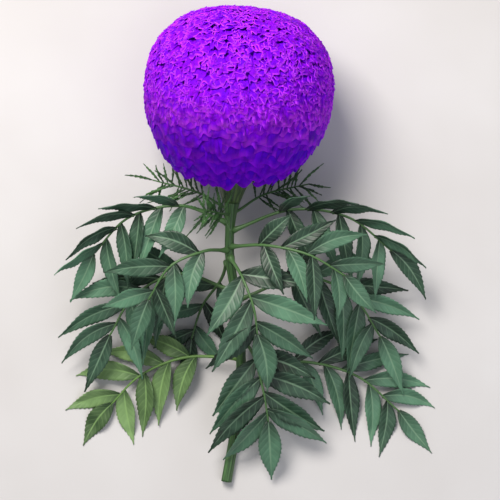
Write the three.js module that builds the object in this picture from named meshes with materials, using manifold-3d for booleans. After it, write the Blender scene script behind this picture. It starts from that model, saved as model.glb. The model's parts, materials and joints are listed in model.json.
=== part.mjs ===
// An African marigold flower as picked: one double bloom on its leafy stem, lying on its side.
// Millimetres, +Z up. The stem runs along +Y to the bloom, whose crown points to +Y and a little up.
// The origin is under the middle of the whole flower, on the surface that it lies on.
import * as THREE from "three";
import { mergeVertices } from "three/addons/utils/BufferGeometryUtils.js";
import Module from "manifold-3d";

const { degToRad, lerp } = THREE.MathUtils;

// Bloom: a ball of ray florets in rings, measured from the middle of the head. CROWN_FULLNESS is the power
// in the outline of the crown's side, where ROUND would make it an ellipse.
const BLOOM_RADIUS = 50;
const CROWN_HEIGHT = 47;
const UNDERSIDE_DEPTH = 52;
const CROWN_FULLNESS = 2.5;
const ROUND = 2;
const LOBE_SHARE = 0.06;
const LOBE_TURN = degToRad(-122);
const RINGS = 13;
const FIRST_RING = degToRad(9);
const LAST_RING = degToRad(146);
const PETAL_WIDTH = 14.8;
const PETAL_THICKNESS = 0.9;
const PETAL_RUFFLE = 2.1;
const PETAL_WAVES = 1.5;
const PETAL_ROUNDING = 1.6;
const PETAL_INSET = 0.12;
const PETAL_COLUMNS = 3;
const PETAL_SHORTFALL = 0.07;
const PETAL_UNEVENNESS = 2.2;
const CORE_RADIUS = 39.5;
const CORE_HEIGHT = 36;
const CORE_DEPTH = 33;
const FIRST_LEAN = degToRad(7);
const LAST_LEAN = degToRad(23);
const FEWEST_PETALS = 3;
const BLOOM_SEED = 12;

// The neck under the bloom that the calyx holds.
const NECK_TOP = -31;
const NECK_RADIUS = 8;
const NECK_END_RADIUS = 7.5;
const NECK_SIDES = 12;

// Petals squashed flat under the head, which rests on them.
const PRESSED_PETALS = 7;
const PRESSED_RADIUS = 17.5;
const PRESSED_NOTCH = 3;

// Lie of the head: its middle above the surface, and how its axis leans from +Y.
const HEAD_HEIGHT = 47;
const CROWN_RAISED = degToRad(12);
const CROWN_TURNED = degToRad(4);
const SURFACE_SPAN = 300;
const SURFACE_DEPTH = 80;

// Gap left between neighbouring pieces, and how near two points count as one.
const FIT_GAP = 0.3;
const SAME_POINT = 1e-4;

// Calyx cup: radii and heights of its outline, by heights on the head's axis from the middle of the head.
const CALYX_SEAT = -38.3;
const CALYX_RIM = -34.2;
const CALYX_END = -57;
const CALYX_OUTLINE = [
  [0, CALYX_END],
  [4.7, CALYX_END],
  [6.6, -51],
  [8.8, -44.5],
  [9.7, CALYX_SEAT],
  [9.7, CALYX_RIM],
  [8.6, CALYX_RIM],
  [8.3, CALYX_SEAT],
  [0, CALYX_SEAT],
];
const CALYX_TEETH = 8;
const CALYX_TOOTH_HEIGHT = 2.6;

// Stem: the points that it passes on its way down from the calyx, and its girth.
const STEM_STRAIGHT = 10;
const STEM_WAY = [
  [-5, -84, 28.6],
  [-1, -112, 20],
  [1, -145, 10.5],
  [-2, -178, 4.8],
  [-7, -208, 3.2],
];
const STEM_NECK_RADIUS = 4.5;
const STEM_NECK_SHARE = 0.12;
const STEM_THIN_RADIUS = 2.5;
const STEM_CUT_RADIUS = 3;
const STEM_RIBS = 5;
const STEM_RIB_DEPTH = 0.05;
const STEM_STEPS = 22;

// Leaves: how far down the stem each one grows, the points its midrib passes, and its leaflets. rise is
// how far the leaflets on the left and on the right of the midrib turn up, in degrees, and hang how much
// they turn towards the stem's cut end.
const LEAVES = {
  leaf_left_upper: {
    grows: -66,
    way: [[-30, -58, 40], [-58, -64, 38], [-78, -84, 31]],
    pairs: 5,
    length: 38,
    width: 9.5,
    rise: [6, 40],
    hang: 0.55,
  },
  leaf_right_upper: {
    grows: -70,
    way: [[28, -60, 39], [58, -64, 38], [82, -82, 29]],
    pairs: 5,
    length: 38,
    width: 9.5,
    rise: [40, 6],
    hang: 0.55,
  },
  leaf_front_upper: {
    grows: -86,
    way: [[2, -96, 42], [8, -112, 46], [10, -126, 43]],
    pairs: 3,
    length: 42,
    width: 13,
    rise: [0, 0],
    hang: 0.15,
  },
  leaf_right_high: {
    grows: -79,
    way: [[15, -79, 48.5], [37, -84, 55], [56, -95, 53]],
    pairs: 4,
    length: 33,
    width: 10,
    rise: [0, 0],
    hang: 0.35,
  },
  leaf_left_high: {
    grows: -81,
    way: [[-18, -82, 41], [-36, -90, 44], [-48, -108, 39]],
    pairs: 3,
    length: 35,
    width: 11,
    rise: [0, 0],
    hang: 0.35,
  },
  leaf_back: {
    grows: -90,
    way: [[-10, -98, 15], [-20, -112, 8], [-26, -130, 5]],
    pairs: 3,
    length: 30,
    width: 9.5,
    rise: [0, 0],
    hang: 0.1,
  },
  leaf_left_middle: {
    grows: -102,
    way: [[-32, -94, 25], [-56, -106, 23], [-70, -128, 18]],
    pairs: 5,
    length: 42,
    width: 10.5,
    rise: [0, 5],
    hang: 0.55,
  },
  leaf_right_middle: {
    grows: -108,
    way: [[34, -96, 23], [60, -105, 21], [77, -129, 16]],
    pairs: 5,
    length: 42,
    width: 10.5,
    rise: [0, 0],
    hang: 0.55,
  },
  leaf_front_lower: {
    grows: -128,
    way: [[8, -138, 27], [13, -156, 27], [16, -174, 21]],
    pairs: 4,
    length: 44,
    width: 13,
    rise: [0, 0],
    hang: 0.15,
  },
  leaf_left_lower: {
    grows: -140,
    way: [[-30, -140, 9], [-54, -150, 6.5], [-70, -166, 3.5]],
    pairs: 4,
    length: 36,
    width: 11.5,
    rise: [0, 0],
    hang: 0.45,
  },
  leaf_right_lower: {
    grows: -146,
    way: [[32, -142, 9], [64, -150, 6.5], [88, -170, 3.5]],
    pairs: 5,
    length: 38,
    width: 10,
    rise: [0, 0],
    hang: 0.45,
  },
};
const MIDRIB_RADIUS = 1.15;
const MIDRIB_TIP_RADIUS = 0.65;
const MIDRIB_SIDES = 4;
const MIDRIB_STEPS = 7;
const LEAF_THICKNESS = 0.7;
const FIRST_PAIR = 0.3;
const LAST_PAIR = 0.88;
const PAIR_STAGGER = 0.02;
const OUTER_PAIR_SIZE = 0.85;
const END_LEAFLET = { share: 0.99, hand: 0, size: 0.85 };
const TO_CUT_END = new THREE.Vector3(0, -1, 0);
const LEAFLET_SPREAD = degToRad(56);
const LEAFLET_TWIST = degToRad(14);
const LEAFLET_DROOP = 0.16;
const LEAFLET_ROOT = 0.05;
const LEAFLET_FULLNESS = 0.85;
const LEAFLET_LEAST_WIDTH = 0.07;
const LEAFLET_ROWS = 5;
const TOOTH_DEPTH = 0.12;
const SURFACE_CLEARANCE = 0.1;

// Small thread-like leaves just under the bloom.
const FEATHER_LEAVES = {
  feather_leaf_left: { grows: -59, way: [[-21, -51, 30], [-46, -44, 29]] },
  feather_leaf_right: { grows: -60.5, way: [[13, -52, 29], [38, -46, 28]] },
  feather_leaf_front: { grows: -62, way: [[-10, -62, 50], [-20, -60, 60]] },
};
const FEATHER_PAIRS = 3;
const FEATHER_LENGTH = 17;
const FEATHER_WIDTH = 2.4;
const FEATHER_RISE = [10, 10];
const FEATHER_ROWS = 2;
const FEATHER_RIB_RADIUS = 0.8;
const FEATHER_RIB_SIDES = 3;
const FEATHER_RIB_STEPS = 4;

// Colours and how rough each surface looks.
const PETAL_SKIN = { color: 0x8a14e4, roughness: 0.75, metalness: 0 };
const CALYX_SKIN = { color: 0x4d6b3a, roughness: 0.55, metalness: 0 };
const STEM_SKIN = { color: 0x557a45, roughness: 0.55, metalness: 0 };
const LEAF_SKIN = { color: 0x4c6f5c, roughness: 0.5, metalness: 0 };
const PALE_LEAF_SKIN = { color: 0x75944f, roughness: 0.5, metalness: 0 };
const FEATHER_SKIN = { color: 0x3f6238, roughness: 0.55, metalness: 0 };

const wasm = await Module();
wasm.setup();

// A closed geometry as a solid that can be joined and cut.
function solidOf(geometry) {
  const bare = geometry.clone();
  bare.deleteAttribute("normal");
  bare.deleteAttribute("uv");
  const merged = mergeVertices(bare, SAME_POINT);
  return new wasm.Manifold(
    new wasm.Mesh({
      numProp: 3,
      vertProperties: new Float32Array(merged.attributes.position.array),
      triVerts: new Uint32Array(merged.index.array),
    }),
  );
}

function geometryOf(solid) {
  const mesh = solid.getMesh();
  const geometry = new THREE.BufferGeometry();
  geometry.setAttribute("position", new THREE.BufferAttribute(mesh.vertProperties, 3));
  geometry.setIndex(new THREE.BufferAttribute(mesh.triVerts, 1));
  geometry.computeVertexNormals();
  return geometry;
}

function joined(geometries) {
  return wasm.Manifold.union(geometries.map(solidOf));
}

function meshOf(name, geometry, skin) {
  const mesh = new THREE.Mesh(geometry, new THREE.MeshStandardMaterial(skin));
  mesh.name = name;
  return mesh;
}

// Repeatable random numbers from 0 to 1.
function seededRandom(seed) {
  let state = seed;
  return () => {
    state = (state * 1664525 + 1013904223) % 4294967296;
    return state / 4294967296;
  };
}

// A closed thin blade. place(u, v, side) gives a point: u from -1 to 1 across, v from 0 at the root to 1
// at the tip, side -1 on the lower face and 1 on the upper, which looks the way of along times across.
// Both faces are split into triangles alike.
function blade(columns, rows, place) {
  const points = [];
  for (const side of [-1, 1]) {
    for (let row = 0; row <= rows; row++) {
      for (let column = 0; column <= columns; column++) {
        points.push(place((2 * column) / columns - 1, row / rows, side));
      }
    }
  }
  const across = columns + 1;
  const face = across * (rows + 1);
  const index = [];
  const quad = (a, b, c, d) => index.push(a, b, c, a, c, d);
  for (let row = 0; row < rows; row++) {
    for (let column = 0; column < columns; column++) {
      const a = row * across + column;
      const [b, c, d] = [a + 1, a + 1 + across, a + across];
      quad(a, b, c, d);
      index.push(a + face, c + face, b + face, a + face, d + face, c + face);
    }
  }
  const rim = (a, b) => quad(a, a + face, b + face, b);
  for (let column = 0; column < columns; column++) {
    rim(column, column + 1);
    rim(rows * across + column + 1, rows * across + column);
  }
  for (let row = 0; row < rows; row++) {
    rim((row + 1) * across, row * across);
    rim(row * across + columns, (row + 1) * across + columns);
  }
  return new THREE.BufferGeometry().setFromPoints(points).setIndex(index);
}

// A closed tube along a curve. radiusAt gives its radius for a share of the length and a turn round it.
function tube(curve, radiusAt, sides, steps) {
  const geometry = new THREE.CylinderGeometry(1, 1, 1, sides, steps);
  const position = geometry.attributes.position;
  for (let i = 0; i < position.count; i++) {
    const share = THREE.MathUtils.clamp(0.5 - position.getY(i), 0, 1);
    const turn = Math.atan2(position.getZ(i), position.getX(i));
    const onAxis = Math.hypot(position.getX(i), position.getZ(i)) < 0.5;
    const radius = onAxis ? 0 : radiusAt(share, turn);
    const along = curve.getTangentAt(share);
    const side = new THREE.Vector3(0, 0, 1).cross(along).normalize();
    const up = along.clone().cross(side);
    const point = curve.getPointAt(share);
    point.addScaledVector(side, radius * Math.cos(turn));
    point.addScaledVector(up, radius * Math.sin(turn));
    position.setXYZ(i, point.x, point.y, point.z);
  }
  return geometry;
}

// The head's own frame: its middle, and its axis turned from +Z to the way that the crown points.
const head = new THREE.Group();
head.position.set(0, 0, HEAD_HEIGHT);
const crownWay = new THREE.Vector3(Math.tan(CROWN_TURNED), 1, Math.tan(CROWN_RAISED)).normalize();
head.quaternion.setFromUnitVectors(new THREE.Vector3(0, 0, 1), crownWay);
head.updateMatrix();

// A point of a ball flattened along the head's axis: polar is the angle from the crown and turn the angle
// round the axis. The crown's side is fuller than a ball.
function onBall(polar, turn, radius, height) {
  const [aside, ahead] = [Math.sin(polar), Math.cos(polar)];
  const power = ahead > 0 ? CROWN_FULLNESS : ROUND;
  const reach = (aside ** power + Math.abs(ahead) ** power) ** (-1 / power);
  const out = radius * reach * aside;
  return new THREE.Vector3(out * Math.cos(turn), out * Math.sin(turn), height * reach * ahead);
}

// Where the florets end. share is how far out they reach. On the underside they hang lower on one side.
function onBloom(polar, turn, share) {
  const lobe = 1 + LOBE_SHARE * Math.cos(turn - LOBE_TURN);
  const height = Math.cos(polar) > 0 ? CROWN_HEIGHT : UNDERSIDE_DEPTH * lobe;
  return onBall(polar, turn, BLOOM_RADIUS, height).multiplyScalar(share);
}

// The packed middle of the head, which the florets grow from.
function onCore(polar, turn) {
  return onBall(polar, turn, CORE_RADIUS, Math.cos(polar) > 0 ? CORE_HEIGHT : CORE_DEPTH);
}

// The whole head as one closed skin. Each ring of florets grows from a narrow band of the packed middle,
// and the bands are joined by strips of triangles.
class BloomSkin {
  points = [];
  index = [];

  add(point) {
    return this.points.push(point) - 1;
  }

  quad(a, b, c, d) {
    this.index.push(a, b, c, a, c, d);
  }

  // A ring of points round the axis, with the turn of each.
  ring(count, offset, pointAt) {
    return Array.from({ length: count }, (_, i) => {
      const turn = (2 * Math.PI * (i + offset)) / count;
      return { turn, vertex: this.add(pointAt(turn)) };
    });
  }

  // Triangles between two rings of unlike counts, the first one nearer the crown.
  strip(upper, lower) {
    const turnOf = (ring, i) => ring[i % ring.length].turn + 2 * Math.PI * Math.floor(i / ring.length);
    const vertexOf = (ring, i) => ring[i % ring.length].vertex;
    let [i, j] = [0, 0];
    while (i < upper.length || j < lower.length) {
      const upperNext = i < upper.length ? turnOf(upper, i + 1) : Infinity;
      const lowerNext = j < lower.length ? turnOf(lower, j + 1) : Infinity;
      if (upperNext < lowerNext) {
        this.index.push(vertexOf(upper, i), vertexOf(lower, j), vertexOf(upper, i + 1));
        i++;
      } else {
        this.index.push(vertexOf(upper, i), vertexOf(lower, j), vertexOf(lower, j + 1));
        j++;
      }
    }
  }

  // Closes the skin over a ring with a fan of triangles to one point.
  fan(ring, point, upward) {
    const tip = this.add(point);
    ring.forEach(({ vertex }, i) => {
      const next = ring[(i + 1) % ring.length].vertex;
      this.index.push(tip, upward ? vertex : next, upward ? next : vertex);
    });
  }

  // One ray floret: its root is a stretch of the two rings of its band, and its tip is a ruffled edge. Its
  // upper and lower faces are split into triangles alike, so that they never cross.
  petal(above, below, first, polar, random) {
    const corner = (ring, column) => ring[(first + column) % ring.length];
    const start = corner(above, 0).turn;
    const reach = 1 - PETAL_SHORTFALL * random();
    const tilt = (PETAL_UNEVENNESS * (2 * random() - 1)) / BLOOM_RADIUS;
    const phase = Math.PI * (0.25 + 0.5 * random()) * (random() < 0.5 ? 1 : -1);
    const step = (2 * Math.PI) / above.length;
    const edge = Array.from({ length: PETAL_COLUMNS + 1 }, (_, column) => {
      const u = (2 * column) / PETAL_COLUMNS - 1;
      const turn = start + step * lerp(PETAL_INSET, PETAL_COLUMNS - PETAL_INSET, column / PETAL_COLUMNS);
      const wave = (PETAL_RUFFLE * Math.sin(PETAL_WAVES * Math.PI * u + phase)) / BLOOM_RADIUS;
      const share = reach - (PETAL_ROUNDING * u * u) / BLOOM_RADIUS;
      const half = PETAL_THICKNESS / 2 / BLOOM_RADIUS;
      return {
        upper: this.add(onBloom(polar + tilt + wave - half, turn, share)),
        lower: this.add(onBloom(polar + tilt + wave + half, turn, share)),
      };
    });
    for (let column = 0; column < PETAL_COLUMNS; column++) {
      const [left, right] = [edge[column], edge[column + 1]];
      this.quad(corner(above, column).vertex, left.upper, right.upper, corner(above, column + 1).vertex);
      this.quad(left.upper, left.lower, right.lower, right.upper);
      this.quad(corner(below, column).vertex, corner(below, column + 1).vertex, right.lower, left.lower);
    }
    const [left, right] = [edge[0], edge[PETAL_COLUMNS]];
    const [far, farBelow] = [corner(above, PETAL_COLUMNS).vertex, corner(below, PETAL_COLUMNS).vertex];
    this.quad(corner(above, 0).vertex, corner(below, 0).vertex, left.lower, left.upper);
    this.quad(far, right.upper, right.lower, farBelow);
  }

  geometry() {
    return new THREE.BufferGeometry().setFromPoints(this.points).setIndex(this.index);
  }
}

function bloomHead() {
  const random = seededRandom(BLOOM_SEED);
  const skin = new BloomSkin();
  let last = null;
  for (let number = 0; number < RINGS; number++) {
    const along = number / (RINGS - 1);
    const polar = lerp(FIRST_RING, LAST_RING, along);
    const base = polar - lerp(FIRST_LEAN, LAST_LEAN, along);
    const girth = 2 * Math.PI * BLOOM_RADIUS * Math.sin(polar);
    const petals = Math.max(FEWEST_PETALS, Math.round(girth / PETAL_WIDTH));
    const count = petals * PETAL_COLUMNS;
    const offset = random();
    const half = PETAL_THICKNESS / 2 / CORE_RADIUS;
    const above = skin.ring(count, offset, (turn) => onCore(base - half, turn));
    const below = skin.ring(count, offset, (turn) => onCore(base + half, turn));
    for (let j = 0; j < petals; j++) skin.petal(above, below, j * PETAL_COLUMNS, polar, random);
    if (last) skin.strip(last, above);
    else skin.fan(above, onCore(0, 0), true);
    last = below;
  }
  const circle = (radius, height) => (turn) =>
    new THREE.Vector3(radius * Math.cos(turn), radius * Math.sin(turn), height);
  const neckTop = skin.ring(NECK_SIDES, 0.5, circle(NECK_RADIUS, NECK_TOP));
  const neckEnd = skin.ring(NECK_SIDES, 0.5, circle(NECK_END_RADIUS, CALYX_SEAT + FIT_GAP));
  skin.strip(last, neckTop);
  skin.strip(neckTop, neckEnd);
  skin.fan(neckEnd, new THREE.Vector3(0, 0, CALYX_SEAT + FIT_GAP), false);
  return skin.geometry();
}

// A lobed pad of petals squashed flat by the weight of the head, round the spot that it rests on.
function pressedPetals() {
  const rim = Array.from({ length: 4 * PRESSED_PETALS }, (_, i) => {
    const turn = (Math.PI * i) / (2 * PRESSED_PETALS);
    const radius = PRESSED_RADIUS - PRESSED_NOTCH * (0.5 - 0.5 * Math.cos(PRESSED_PETALS * turn));
    return new THREE.Vector2(radius * Math.cos(turn), radius * Math.sin(turn));
  });
  const depth = 2 * PETAL_THICKNESS;
  const pad = new THREE.ExtrudeGeometry(new THREE.Shape(rim), { depth, bevelEnabled: false });
  return pad.translate(0, 0, -PETAL_THICKNESS).applyMatrix4(head.matrix.clone().invert());
}

// The head with its pressed petals, cut off level at the surface that it lies on.
function bloom() {
  const surface = new THREE.BoxGeometry(SURFACE_SPAN, SURFACE_SPAN, SURFACE_DEPTH);
  surface.translate(0, 0, -SURFACE_DEPTH / 2).applyMatrix4(head.matrix.clone().invert());
  const solid = joined([bloomHead(), pressedPetals()]).subtract(solidOf(surface));
  return meshOf("bloom", geometryOf(solid), PETAL_SKIN);
}

// The green cup of fused bracts, with a ring of teeth round the bloom's neck.
function calyxCup() {
  const outline = CALYX_OUTLINE.map(([radius, height]) => new THREE.Vector2(radius, height));
  const cup = new THREE.LatheGeometry(outline, 2 * CALYX_TEETH).rotateX(Math.PI / 2);
  const position = cup.attributes.position;
  for (let i = 0; i < position.count; i++) {
    const height = position.getZ(i);
    const turn = Math.atan2(position.getY(i), position.getX(i));
    const tooth = (CALYX_TOOTH_HEIGHT * (1 + Math.cos(CALYX_TEETH * turn))) / 2;
    if (Math.abs(height - CALYX_RIM) < SAME_POINT) position.setZ(i, height + tooth);
  }
  return meshOf("calyx_cup", cup, CALYX_SKIN);
}

// The stem's middle line, from just under the calyx to the cut end.
const stemTop = new THREE.Vector3(0, 0, CALYX_END - FIT_GAP).applyMatrix4(head.matrix);
const stemCurve = new THREE.CatmullRomCurve3([
  stemTop,
  stemTop.clone().addScaledVector(crownWay, -STEM_STRAIGHT),
  ...STEM_WAY.map((point) => new THREE.Vector3(...point)),
]);

// Share of the stem's length at which it passes a given y.
function stemShareAt(y) {
  let low = 0;
  let high = 1;
  for (let halving = 0; halving < 30; halving++) {
    const middle = (low + high) / 2;
    if (stemCurve.getPointAt(middle).y > y) low = middle;
    else high = middle;
  }
  return low;
}

// The swollen neck under the calyx narrows fast, and the stem then thickens slowly down to its cut.
function stemRadius(share) {
  const swelling = Math.max(0, 1 - share / STEM_NECK_SHARE) ** 2;
  const neck = (STEM_NECK_RADIUS - STEM_THIN_RADIUS) * swelling;
  return STEM_THIN_RADIUS + neck + (STEM_CUT_RADIUS - STEM_THIN_RADIUS) * share;
}

function stem() {
  const ribbed = (share, turn) => {
    const rib = Math.cos(STEM_RIBS * turn) - 1;
    return stemRadius(share) * (1 + STEM_RIB_DEPTH * rib);
  };
  return meshOf("stem", tube(stemCurve, ribbed, 2 * STEM_RIBS, STEM_STEPS), STEM_SKIN);
}

// A leaf's midrib: it starts on the stem's skin, on the side that it grows towards.
function midribCurve(grows, way, ribRadius) {
  const share = stemShareAt(grows);
  const middle = stemCurve.getPointAt(share);
  const along = stemCurve.getTangentAt(share);
  const points = way.map((point) => new THREE.Vector3(...point));
  const start = points[0].clone().sub(middle);
  const slant = start.clone().normalize().dot(along);
  start.addScaledVector(along, -start.dot(along)).normalize();
  const reach = stemRadius(share) + FIT_GAP + ribRadius * Math.abs(slant);
  return new THREE.CatmullRomCurve3([middle.addScaledVector(start, reach), ...points]);
}

// One leaflet: a drooping blade with a toothed edge, widest in the middle and pointed.
function leaflet({ root, out, across, normal, length, width, rows }) {
  return blade(1, rows, (u, v, side) => {
    const tooth = Math.round(v * rows) % 2 ? 1 : 1 - TOOTH_DEPTH;
    const belly = Math.sin(Math.PI * lerp(LEAFLET_ROOT, 1, v) ** LEAFLET_FULLNESS);
    const halfWidth = (width / 2) * Math.max(LEAFLET_LEAST_WIDTH, belly * tooth);
    const point = root
      .clone()
      .addScaledVector(out, v * length)
      .addScaledVector(across, u * halfWidth);
    point.z -= LEAFLET_DROOP * length * v * v;
    point.z = Math.max(point.z, SURFACE_CLEARANCE + LEAF_THICKNESS);
    return point.addScaledVector(normal, (side * LEAF_THICKNESS) / 2);
  });
}

// Leaflets in pairs along a midrib, and one at its end. Each is twisted, so that neighbours lap over.
function leafletsOn(curve, { pairs, length, width, rise, hang, rows }) {
  const places = [END_LEAFLET];
  for (let pair = 0; pair < pairs; pair++) {
    const along = pair / (pairs - 1);
    const share = lerp(FIRST_PAIR, LAST_PAIR, along);
    const size = lerp(OUTER_PAIR_SIZE, 1, Math.sin(Math.PI * along));
    places.push({ share: share - PAIR_STAGGER, hand: -1, size });
    places.push({ share: share + PAIR_STAGGER, hand: 1, size });
  }
  return places.map(({ share, hand, size }) => {
    const along = curve.getTangentAt(share);
    const side = along.clone().cross(new THREE.Vector3(0, 0, 1)).normalize();
    const flat = side.clone().cross(along);
    flat.applyAxisAngle(along, -hand * degToRad(hand < 0 ? rise[0] : rise[1]));
    const out = along.clone().applyAxisAngle(flat, -hand * LEAFLET_SPREAD);
    out.addScaledVector(TO_CUT_END, hang).normalize();
    const across = flat.clone().cross(out).normalize().applyAxisAngle(out, -hand * LEAFLET_TWIST);
    const normal = out.clone().cross(across);
    const root = curve.getPointAt(share);
    return leaflet({ root, out, across, normal, length: length * size, width, rows });
  });
}

function leaf(name, plan, skin) {
  const curve = midribCurve(plan.grows, plan.way, MIDRIB_RADIUS);
  const girth = (share) => lerp(MIDRIB_RADIUS, MIDRIB_TIP_RADIUS, share);
  const midrib = tube(curve, girth, MIDRIB_SIDES, MIDRIB_STEPS);
  const leaflets = leafletsOn(curve, { ...plan, rows: LEAFLET_ROWS });
  return meshOf(name, geometryOf(joined([midrib, ...leaflets])), skin);
}

function featherLeaf(name, { grows, way }) {
  const curve = midribCurve(grows, way, FEATHER_RIB_RADIUS);
  const midrib = tube(curve, () => FEATHER_RIB_RADIUS, FEATHER_RIB_SIDES, FEATHER_RIB_STEPS);
  const threads = leafletsOn(curve, {
    pairs: FEATHER_PAIRS,
    length: FEATHER_LENGTH,
    width: FEATHER_WIDTH,
    rise: FEATHER_RISE,
    hang: 0,
    rows: FEATHER_ROWS,
  });
  return meshOf(name, geometryOf(joined([midrib, ...threads])), FEATHER_SKIN);
}

head.add(bloom(), calyxCup());

const lying = new THREE.Group();
lying.add(head, stem());
for (const [name, plan] of Object.entries(LEAVES)) {
  lying.add(leaf(name, plan, name === "leaf_left_lower" ? PALE_LEAF_SKIN : LEAF_SKIN));
}
for (const [name, plan] of Object.entries(FEATHER_LEAVES)) {
  lying.add(featherLeaf(name, plan));
}

// The flower is moved so that the origin lies under the middle of its outline.
const outline = new THREE.Box3().setFromObject(lying, true);
const middle = outline.getCenter(new THREE.Vector3());
lying.position.set(-middle.x, -middle.y, -outline.min.z);

const flower = new THREE.Group();
flower.add(lying);

export default flower;
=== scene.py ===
# %% [markdown]
# # A marigold bloom on its cut stem
# The object is one African marigold as picked: a double violet bloom on a leafy stem, lying on its side.
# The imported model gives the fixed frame. Every solid in it is a plain stand-in for one grown thing, and
# each is replaced here by a finer piece of the same form in the same place.
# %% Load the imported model
import json
import math
import random

import bmesh
import bpy
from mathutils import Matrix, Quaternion, Vector


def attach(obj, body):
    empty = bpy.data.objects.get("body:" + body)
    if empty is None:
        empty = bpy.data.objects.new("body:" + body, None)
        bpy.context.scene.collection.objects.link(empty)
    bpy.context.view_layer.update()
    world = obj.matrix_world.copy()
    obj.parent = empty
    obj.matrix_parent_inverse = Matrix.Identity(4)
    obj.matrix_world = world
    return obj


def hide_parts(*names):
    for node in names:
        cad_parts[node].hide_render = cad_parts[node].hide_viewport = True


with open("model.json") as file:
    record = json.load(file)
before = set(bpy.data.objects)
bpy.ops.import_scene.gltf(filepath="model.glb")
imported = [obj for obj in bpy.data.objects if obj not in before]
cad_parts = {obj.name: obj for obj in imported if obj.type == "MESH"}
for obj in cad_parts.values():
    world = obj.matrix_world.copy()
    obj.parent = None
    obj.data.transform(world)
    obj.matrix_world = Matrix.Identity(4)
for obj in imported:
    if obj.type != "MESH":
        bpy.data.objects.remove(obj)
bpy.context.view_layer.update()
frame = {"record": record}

# %% [markdown]
# ## Measures
# All sizes below are in millimetres, in a frame whose origin is under the middle of the head. The packed
# model's resting spot is under that same middle, so it tells how far the finished pieces are moved.
# The head is a ball flattened along its axis, and the axis leans a little up and a little to the right.
# Fullness is the power that its outline follows: 2 gives a plain ball, and more gives fuller shoulders. The
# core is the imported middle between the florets. The underside hangs lower on the side of the lobe.
# %% Measures of the head
MM = 0.001
UP = Vector((0, 0, 1))
REST_SPOT = Vector(frame["record"]["mounts"][0]["pos_m"])

LEAN_RIGHT = math.radians(4)
LEAN_UP = math.radians(12)
HEAD_MIDDLE = Vector((0, 0, 47))
CROWN_WAY = Vector((math.tan(LEAN_RIGHT), 1, math.tan(LEAN_UP))).normalized()
HEAD_TURN = UP.rotation_difference(CROWN_WAY).to_matrix()
HEAD_RADIUS = 50
CROWN_HEIGHT = 47
UNDERSIDE_DEPTH = 52
CROWN_FULLNESS = 2.5
PLAIN_BALL = 2
LOBE_SHARE = 0.06
LOBE_TURN = math.radians(-122)
CORE_RADIUS = 46
CORE_HEIGHT = 43
CORE_DEPTH = 37


def in_place(point):
    """A point of the head's own frame, as it lies on the surface."""
    return HEAD_MIDDLE + HEAD_TURN @ point


print("the head's axis:", tuple(round(part, 3) for part in CROWN_WAY))

# %% [markdown]
# ## Camera
# The photograph looks at the growing flower from the side. The picked flower lies down, so the same view
# of it is from straight above, with the bloom at the top of the picture. A long lens far away keeps the
# bloom, which is nearer to the camera, from looking too large. The picture is 266 mm wide at a level of
# 35 mm over the surface, which is about the middle of the leaves.
# %% Camera
VIEW_WIDTH = 266
CAMERA_HEIGHT = 1150
LEVEL_IN_VIEW = 35
SENSOR = 36

camera_data = bpy.data.cameras.new("camera")
camera_data.sensor_width = SENSOR
camera_data.lens = SENSOR * (CAMERA_HEIGHT - LEVEL_IN_VIEW) / VIEW_WIDTH
camera = bpy.data.objects.new("camera", camera_data)
camera.location = Vector((0, 0, CAMERA_HEIGHT)) * MM
bpy.context.collection.objects.link(camera)
bpy.context.scene.camera = camera
print("lens, mm:", round(camera_data.lens))

# %% [markdown]
# ## Node helpers
# Each finish is a small tree of nodes. One function adds a node with its settings and links, and one
# turns the hex colours that a maker would read off a swatch into the linear values that shaders use. A
# Mix node has its share at input 0, and its two colours at inputs 6 and 7.
# %% Node helpers
def colour(swatch):
    """A hex colour such as "8a14e4" as a linear RGBA value."""
    parts = [int(swatch[i : i + 2], 16) / 255 for i in (0, 2, 4)]
    return (*(c / 12.92 if c <= 0.04045 else ((c + 0.055) / 1.055) ** 2.4 for c in parts), 1)


def add_node(tree, kind, inputs=None, **settings):
    """Adds a node. Each input is a plain value, or it is linked to a node's first output in use, or to
    the one output that is given."""
    made = tree.nodes.new(kind)
    for name, value in settings.items():
        setattr(made, name, value)
    for key, value in (inputs or {}).items():
        if isinstance(value, bpy.types.Node):
            value = next(output for output in value.outputs if output.enabled)
        if isinstance(value, bpy.types.NodeSocket):
            tree.links.new(value, made.inputs[key])
        else:
            made.inputs[key].default_value = value
    return made


def new_finish(name):
    """An empty material with its tree of nodes."""
    material = bpy.data.materials.new(name)
    material.use_nodes = True
    material.node_tree.nodes.clear()
    return material, material.node_tree


def set_surface(tree, inputs):
    """The tree's one shader, linked to its output."""
    shader = add_node(tree, "ShaderNodeBsdfPrincipled", inputs)
    add_node(tree, "ShaderNodeOutputMaterial", {"Surface": shader})


def set_stops(ramp, stops):
    """Gives a ramp its colours, from (place, hex colour) stops."""
    while len(ramp.elements) < len(stops):
        ramp.elements.new(1)
    for element, (place, swatch) in zip(ramp.elements, stops):
        element.position = place
        element.color = colour(swatch)


print("pure violet petal, linear:", [round(part, 3) for part in colour("8a14e4")])

# %% [markdown]
# ## Floor
# The floor is a sheet of matte pale card, rough enough to show no reflection. It is one flat square, 8 m
# wide, so that its edge stays out of every view. Card is never quite even, so a weak noise of 9 clouds per
# metre, about 110 mm each, varies its grey.
# %% Floor
CARD_CLOUDS = 9.0
FLOOR_HALF_SIDE = 4
card, tree = new_finish("matte_pale_card")
place = add_node(tree, "ShaderNodeTexCoord").outputs["Object"]
clouds = add_node(tree, "ShaderNodeTexNoise", {"Vector": place, "Scale": CARD_CLOUDS, "Detail": 3.0})
pale = add_node(tree, "ShaderNodeValToRGB", {"Fac": clouds})
set_stops(pale.color_ramp, [(0.3, "bbb8b8"), (0.7, "c4c2c3")])
set_surface(tree, {"Base Color": pale, "Roughness": 0.85})

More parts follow.
